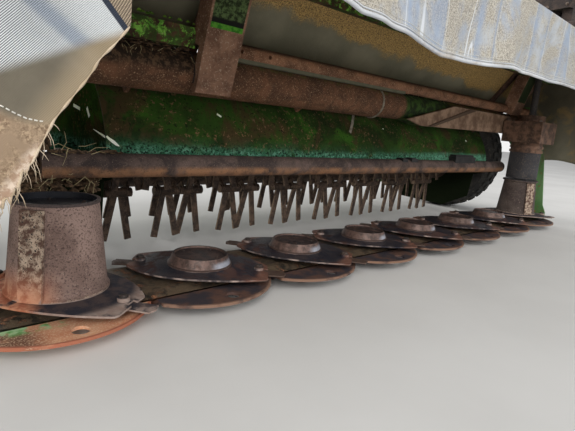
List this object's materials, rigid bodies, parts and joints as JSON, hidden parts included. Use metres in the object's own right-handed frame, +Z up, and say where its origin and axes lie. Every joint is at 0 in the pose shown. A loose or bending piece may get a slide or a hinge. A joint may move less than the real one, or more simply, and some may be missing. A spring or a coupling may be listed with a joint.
{
  "type": "trailed disc mower with tined conditioner",
  "caption": "Trailed side-pull disc mower: a row of oval cutting discs under a canvas canopy, a tined rotor behind, two wheels and a swinging drawbar.",
  "frame": {"origin": "on the ground in the middle of the parked machine's length and width", "axes": "+X towards the drive side where the drawbar is hinged, -Y in the direction of travel, +Z up"},
  "size_m": [3.6126, 5.1025, 1.475],
  "materials": {
    "green_paint": "weathered paint with rust",
    "rusty_steel": "rust",
    "guard_steel": "orange rust",
    "dark_steel": "worn dark steel",
    "tine_steel": "worn steel",
    "rod_steel": "polished",
    "rim_paint": "weathered paint",
    "tyre_rubber": "worn",
    "guard_plastic": "faded plastic",
    "canvas": "weathered woven sheet"
  },
  "bodies": {
    "root": {"cutterbar": "dark_steel", "stone_guards": "guard_steel", "header_beam": "rusty_steel", "header_ends": "green_paint", "lip_tube": "rusty_steel", "hood": "green_paint", "hood_sides": "green_paint", "beam_brackets": "rusty_steel", "curtain_tube": "rusty_steel", "canopy_frame": "green_paint", "canopy_rafters": "green_paint", "canopy_top": "canvas", "front_curtain": "canvas", "side_curtains": "canvas", "drive_gearbox": "dark_steel", "rotor_drive_guard": "green_paint", "main_frame": "green_paint", "frame_legs": "green_paint"},
    "rotor": {"rotor": "dark_steel", "tines": "tine_steel"},
    "rear_deflector": {"rear_deflector": "green_paint"},
    "drawbar": {"drawbar": "green_paint", "hitch": "dark_steel", "swivel_gearbox": "dark_steel", "pto_guard": "guard_plastic", "jack_tube": "green_paint"},
    "pto_shaft": {"pto_shaft": "dark_steel"},
    "jack_leg": {"jack_leg": "dark_steel"},
    "swing_barrel": {"swing_barrel": "dark_steel"},
    "swing_rod": {"swing_rod": "rod_steel"},
    "disc_1": {"disc_1": "dark_steel"},
    "disc_2": {"disc_2": "dark_steel"},
    "disc_3": {"disc_3": "dark_steel"},
    "disc_4": {"disc_4": "dark_steel"},
    "disc_5": {"disc_5": "dark_steel"},
    "disc_6": {"disc_6": "dark_steel"},
    "disc_7": {"disc_7": "dark_steel"},
    "disc_8": {"disc_8": "dark_steel"},
    "swath_door_right": {"swath_door_right": "green_paint"},
    "wheel_arm_right": {"wheel_arm_right": "green_paint"},
    "wheel_right": {"rim_right": "rim_paint", "tyre_right": "tyre_rubber"},
    "lift_barrel_right": {"lift_barrel_right": "dark_steel"},
    "lift_rod_right": {"lift_rod_right": "rod_steel"},
    "swath_door_left": {"swath_door_left": "green_paint"},
    "wheel_arm_left": {"wheel_arm_left": "green_paint"},
    "wheel_left": {"rim_left": "rim_paint", "tyre_left": "tyre_rubber"},
    "lift_barrel_left": {"lift_barrel_left": "dark_steel"},
    "lift_rod_left": {"lift_rod_left": "rod_steel"}
  },
  "joints": [
    {"name": "disc_8_spin", "type": "hinge", "parent": "root", "child": "disc_8", "pos_m": [1.4, 1.26452, 0.08], "axis": [0, 0, 1], "continuous": true},
    {"name": "disc_7_spin", "type": "hinge", "parent": "root", "child": "disc_7", "pos_m": [1, 1.26452, 0.08], "axis": [0, 0, 1], "continuous": true},
    {"name": "disc_6_spin", "type": "hinge", "parent": "root", "child": "disc_6", "pos_m": [0.6, 1.26452, 0.08], "axis": [0, 0, 1], "continuous": true},
    {"name": "disc_5_spin", "type": "hinge", "parent": "root", "child": "disc_5", "pos_m": [0.2, 1.26452, 0.08], "axis": [0, 0, 1], "continuous": true},
    {"name": "disc_4_spin", "type": "hinge", "parent": "root", "child": "disc_4", "pos_m": [-0.2, 1.26452, 0.08], "axis": [0, 0, 1], "continuous": true},
    {"name": "disc_3_spin", "type": "hinge", "parent": "root", "child": "disc_3", "pos_m": [-0.6, 1.26452, 0.08], "axis": [0, 0, 1], "continuous": true},
    {"name": "disc_2_spin", "type": "hinge", "parent": "root", "child": "disc_2", "pos_m": [-1, 1.26452, 0.08], "axis": [0, 0, 1], "continuous": true},
    {"name": "disc_1_spin", "type": "hinge", "parent": "root", "child": "disc_1", "pos_m": [-1.4, 1.26452, 0.08], "axis": [0, 0, 1], "continuous": true},
    {"name": "rotor_spin", "type": "hinge", "parent": "root", "child": "rotor", "pos_m": [0, 1.77252, 0.345], "axis": [1, 0, 0], "continuous": true},
    {"name": "rear_deflector_hinge", "type": "hinge", "parent": "root", "child": "rear_deflector", "pos_m": [0, 2.05067, 0.57384], "axis": [1, 0, 0], "range_deg": [-15, 30]},
    {"name": "swath_door_right_hinge", "type": "hinge", "parent": "root", "child": "swath_door_right", "pos_m": [-1.189, 2.09252, 0.15], "axis": [0, 0, -1], "range_deg": [-12, 12]},
    {"name": "swath_door_left_hinge", "type": "hinge", "parent": "root", "child": "swath_door_left", "pos_m": [1.189, 2.09252, 0.15], "axis": [0, 0, 1], "range_deg": [-12, 12]},
    {"name": "lift_arm_left", "type": "hinge", "parent": "root", "child": "wheel_arm_left", "pos_m": [0, 2.21452, 0.64], "axis": [1, 0, 0], "range_deg": [0, 22]},
    {"name": "wheel_left_spin", "type": "hinge", "parent": "wheel_arm_left", "child": "wheel_left", "pos_m": [1.62, 1.91452, 0.39], "axis": [1, 0, 0], "continuous": true},
    {"name": "lift_barrel_left_pin", "type": "hinge", "parent": "root", "child": "lift_barrel_left", "pos_m": [0, 1.95452, 0.925], "axis": [1, 0, 0], "range_deg": [0, 4.54]},
    {"name": "lift_rod_left_slide", "type": "slide", "parent": "lift_barrel_left", "child": "lift_rod_left", "axis": [0, 0.1459, -0.9893], "range_m": [0, 0.07956]},
    {"name": "lift_arm_right", "type": "hinge", "parent": "root", "child": "wheel_arm_right", "pos_m": [0, 2.21452, 0.64], "axis": [1, 0, 0], "range_deg": [0, 22]},
    {"name": "wheel_right_spin", "type": "hinge", "parent": "wheel_arm_right", "child": "wheel_right", "pos_m": [-1.62, 1.91452, 0.39], "axis": [1, 0, 0], "continuous": true},
    {"name": "lift_barrel_right_pin", "type": "hinge", "parent": "root", "child": "lift_barrel_right", "pos_m": [0, 1.95452, 0.925], "axis": [1, 0, 0], "range_deg": [0, 4.54]},
    {"name": "lift_rod_right_slide", "type": "slide", "parent": "lift_barrel_right", "child": "lift_rod_right", "axis": [0, 0.1459, -0.9893], "range_m": [0, 0.07956]},
    {"name": "drawbar_swing", "type": "hinge", "parent": "root", "child": "drawbar", "pos_m": [1.4, 1.26452, 1.145], "axis": [0, 0, 1], "range_deg": [-6, 30]},
    {"name": "swing_barrel_pin", "type": "hinge", "parent": "root", "child": "swing_barrel", "pos_m": [0.98, 1.56452, 1.145], "axis": [0, 0, 1], "range_deg": [-3.47, 17.13]},
    {"name": "swing_rod_slide", "type": "slide", "parent": "swing_barrel", "child": "swing_rod", "axis": [0.2043, -0.9789, 0], "range_m": [-0.03197, 0.15787]},
    {"name": "pto_shaft_spin", "type": "hinge", "parent": "drawbar", "child": "pto_shaft", "pos_m": [0.65983, -2.21769, 0.85], "axis": [0.2052, 0.9654, 0.161], "continuous": true},
    {"name": "jack_leg_slide", "type": "slide", "parent": "drawbar", "child": "jack_leg", "axis": [0, 0, 1], "range_m": [0, 0.24]}
  ],
  "couplings": [
    {"joint": "disc_7_spin", "follows": "disc_8_spin", "ratio": -1},
    {"joint": "disc_6_spin", "follows": "disc_8_spin", "ratio": 1},
    {"joint": "disc_5_spin", "follows": "disc_8_spin", "ratio": -1},
    {"joint": "disc_4_spin", "follows": "disc_8_spin", "ratio": 1},
    {"joint": "disc_3_spin", "follows": "disc_8_spin", "ratio": -1},
    {"joint": "disc_2_spin", "follows": "disc_8_spin", "ratio": 1},
    {"joint": "disc_1_spin", "follows": "disc_8_spin", "ratio": -1},
    {"joint": "lift_barrel_left_pin", "follows": "lift_arm_left", "ratio": 0.20398},
    {"joint": "lift_rod_left_slide", "follows": "lift_arm_left", "m_per_rad": 0.20589},
    {"joint": "lift_arm_right", "follows": "lift_arm_left", "ratio": 1},
    {"joint": "lift_barrel_right_pin", "follows": "lift_arm_left", "ratio": 0.20398},
    {"joint": "lift_rod_right_slide", "follows": "lift_arm_left", "m_per_rad": 0.20589},
    {"joint": "swing_barrel_pin", "follows": "drawbar_swing", "ratio": 0.56936},
    {"joint": "swing_rod_slide", "follows": "drawbar_swing", "m_per_rad": 0.30056}
  ]
}
